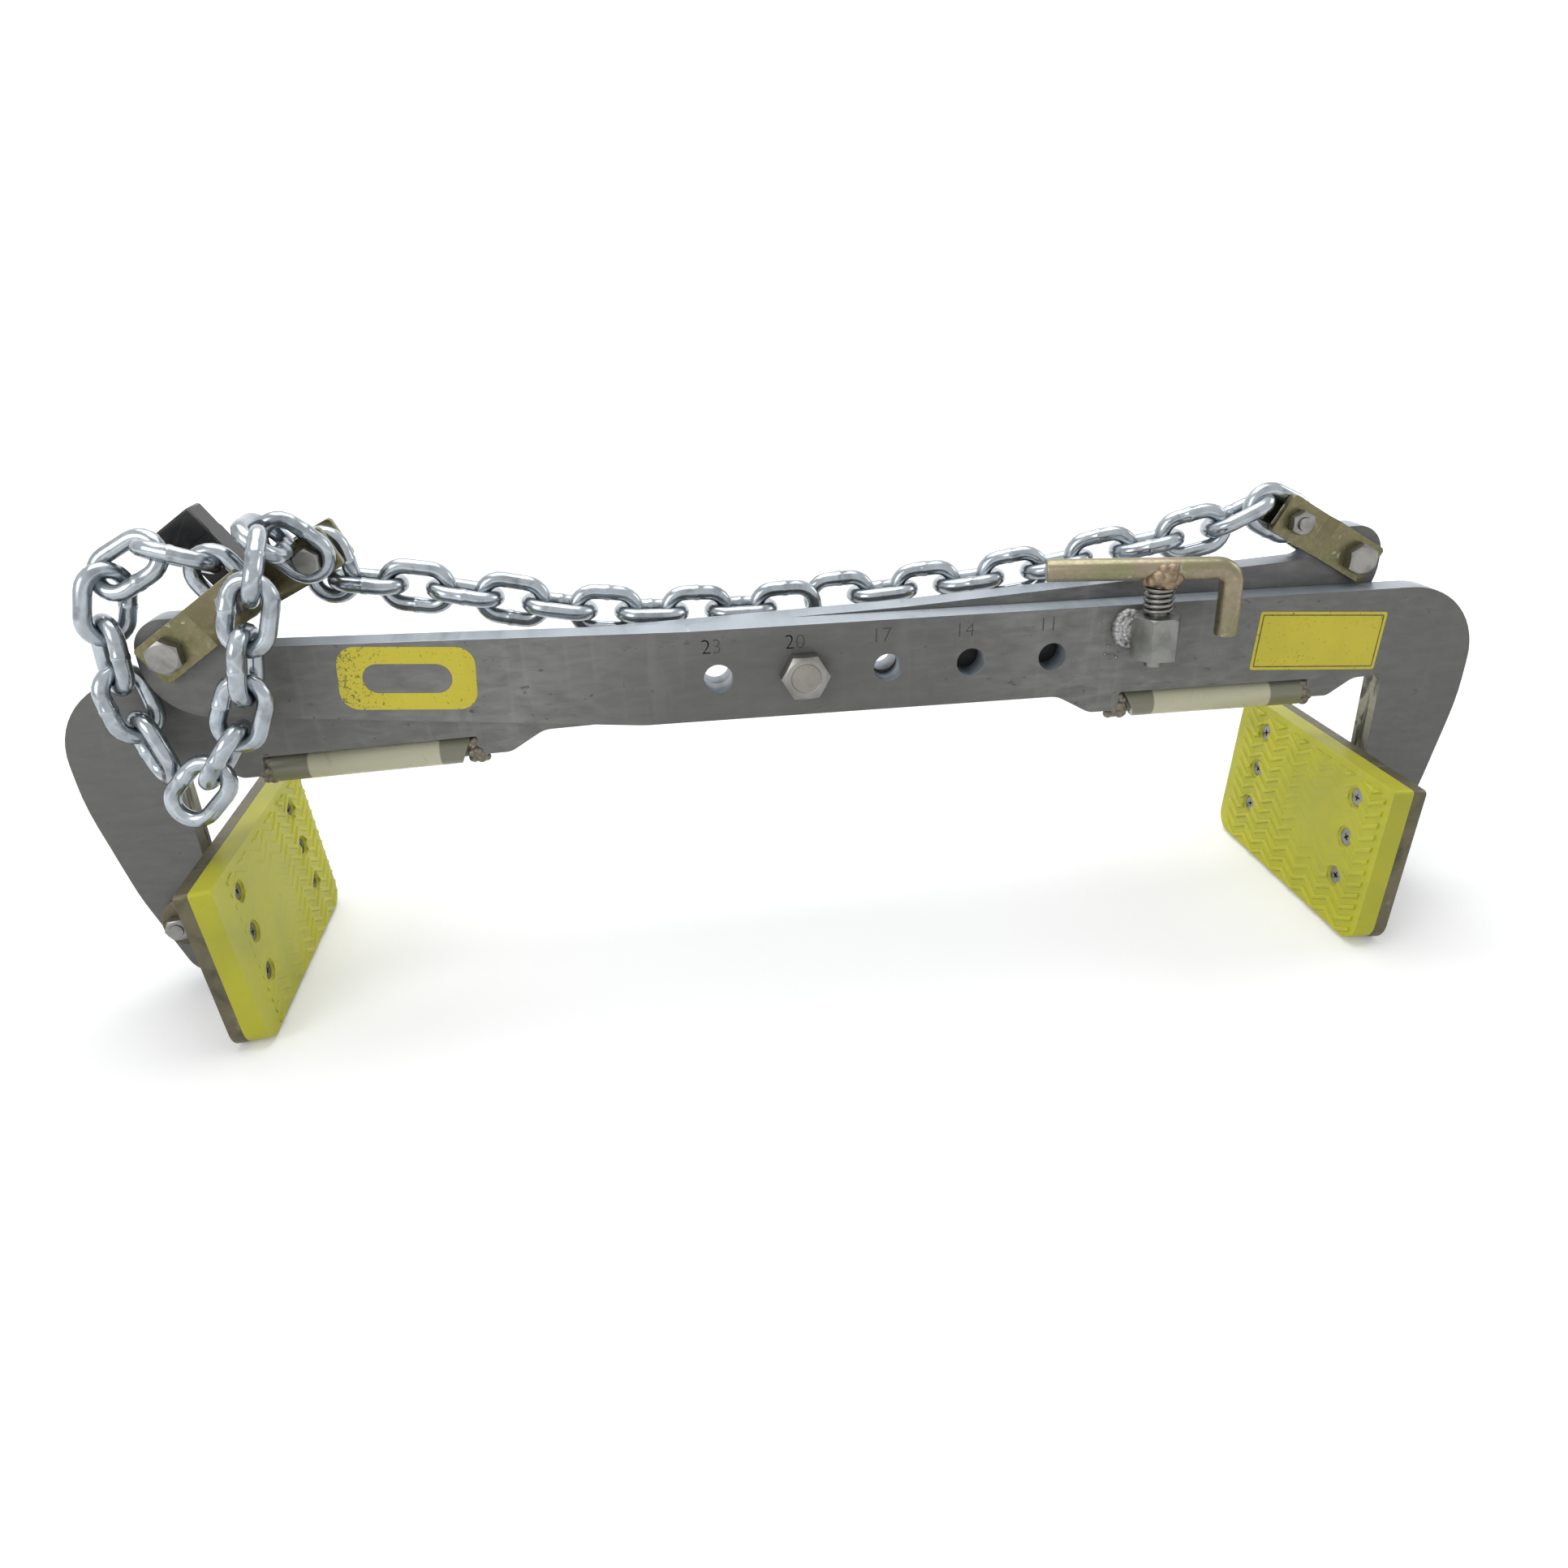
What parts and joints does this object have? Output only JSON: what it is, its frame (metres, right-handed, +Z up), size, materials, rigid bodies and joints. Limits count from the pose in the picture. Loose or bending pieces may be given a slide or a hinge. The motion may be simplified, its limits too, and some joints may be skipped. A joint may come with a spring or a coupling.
{
  "type": "scissor lifting clamp",
  "caption": "Scissor clamp for lifting blocks: two crossed hook arms on a pivot bolt, tilting ribbed jaws, hand grips, spring latch, shackles and a chain.",
  "frame": {"origin": "on the floor under the scissor pivot, at the middle of the footprint, with the clamp standing on its jaws", "axes": "+X along the arms towards the front arm's jaw, +Y from the front arm to the rear arm, +Z up"},
  "size_m": [0.6426, 0.1444, 0.2197],
  "materials": {
    "arm_steel": "grey zinc, satin",
    "bright_zinc": "bright zinc plate",
    "chain_zinc": "bright zinc plate, bluish",
    "yellow_zinc": "yellow chromate zinc, satin",
    "dull_zinc": "brownish zinc, worn",
    "weld_bead": "weld bead, rippled",
    "copper_weld": "copper coloured weld bead",
    "black_steel": "black oxide",
    "hose": "milky plastic hose",
    "pad": "yellow polyurethane, slightly clear"
  },
  "bodies": {
    "front_arm": {"chain_drop_link": "chain_zinc", "chain_front_loop": "chain_zinc", "chain_middle_run": "chain_zinc", "front_arm_plate": "arm_steel", "front_handle_hose": "hose", "front_handle_rod": "arm_steel", "front_handle_welds": "weld_bead", "latch_boss": "bright_zinc", "latch_boss_weld": "weld_bead", "latch_spring": "bright_zinc", "lifting_lug": "black_steel", "lifting_lug_clip": "bright_zinc", "lifting_shackle_back_strap": "yellow_zinc", "lifting_shackle_bolts": "bright_zinc", "lifting_shackle_front_strap": "yellow_zinc", "lifting_shackle_nuts": "bright_zinc", "pivot_bolt": "bright_zinc", "pivot_nut": "bright_zinc", "pivot_washer": "bright_zinc"},
    "rear_arm": {"rear_arm_plate": "arm_steel", "rear_handle_hose": "hose", "rear_handle_rod": "arm_steel", "rear_handle_welds": "weld_bead"},
    "right_jaw": {"right_jaw_backing_plate": "dull_zinc", "right_jaw_clevis": "dull_zinc", "right_jaw_pad": "pad", "right_jaw_pivot_bolt": "bright_zinc", "right_jaw_pivot_nut": "bright_zinc", "right_jaw_screws": "bright_zinc"},
    "left_jaw": {"left_jaw_backing_plate": "dull_zinc", "left_jaw_clevis": "dull_zinc", "left_jaw_pad": "pad", "left_jaw_pivot_bolt": "bright_zinc", "left_jaw_pivot_nut": "bright_zinc", "left_jaw_screws": "bright_zinc"},
    "latch_washer_body": {"latch_washer": "bright_zinc"},
    "latch_lever_body": {"latch_lever": "yellow_zinc", "latch_lever_weld": "copper_weld", "latch_pin": "bright_zinc", "latch_pin_ring": "bright_zinc"},
    "right_shackle": {"right_shackle_back_strap": "yellow_zinc", "right_shackle_bolts": "bright_zinc", "right_shackle_front_strap": "yellow_zinc", "right_shackle_nuts": "bright_zinc"},
    "right_chain": {"chain_right_strand": "chain_zinc"},
    "left_shackle": {"left_shackle_back_strap": "yellow_zinc", "left_shackle_bolts": "bright_zinc", "left_shackle_front_strap": "yellow_zinc", "left_shackle_nuts": "bright_zinc"},
    "left_chain": {"chain_left_strand": "chain_zinc"}
  },
  "joints": [
    {"name": "scissor_pivot", "type": "hinge", "parent": "front_arm", "child": "rear_arm", "pos_m": [0, 0, 0.13634], "axis": [0, 1, 0], "range_deg": [-30, 0]},
    {"name": "right_jaw_tilt", "type": "hinge", "parent": "front_arm", "child": "right_jaw", "pos_m": [0.29349, -0.00655, 0.03583], "axis": [0, 1, 0], "range_deg": [-18, 10]},
    {"name": "left_jaw_tilt", "type": "hinge", "parent": "rear_arm", "child": "left_jaw", "pos_m": [-0.29349, 0.00655, 0.03583], "axis": [0, -1, 0], "range_deg": [-18, 10]},
    {"name": "latch_press", "type": "slide", "parent": "front_arm", "child": "latch_washer_body", "axis": [0, 0, -1], "range_m": [0, 0.004], "stiffness_N_per_m": 3000, "deforming": ["latch_spring"]},
    {"name": "latch_turn", "type": "hinge", "parent": "latch_washer_body", "child": "latch_lever_body", "pos_m": [0.158, -0.0226, 0.13634], "axis": [0, 0, -1], "range_deg": [0, 31]},
    {"name": "right_shackle_swing", "type": "hinge", "parent": "rear_arm", "child": "right_shackle", "pos_m": [0.26155, 0.00655, 0.16757], "axis": [0, 1, 0], "range_deg": [0, 35]},
    {"name": "right_chain_swing", "type": "hinge", "parent": "right_shackle", "child": "right_chain", "pos_m": [0.23155, 0.00655, 0.18559], "axis": [0, 1, 0], "range_deg": [-39, 0]},
    {"name": "left_shackle_swing", "type": "hinge", "parent": "front_arm", "child": "left_shackle", "pos_m": [-0.26155, -0.00655, 0.16757], "axis": [0, -1, 0], "range_deg": [0, 20]},
    {"name": "left_chain_swing", "type": "hinge", "parent": "left_shackle", "child": "left_chain", "pos_m": [-0.2323, -0.00655, 0.18678], "axis": [0, -1, 0], "range_deg": [-20.5, 0]}
  ],
  "couplings": [
    {"joint": "right_chain_swing", "follows": "right_shackle_swing", "ratio": -1.1},
    {"joint": "left_chain_swing", "follows": "left_shackle_swing", "ratio": -1}
  ]
}
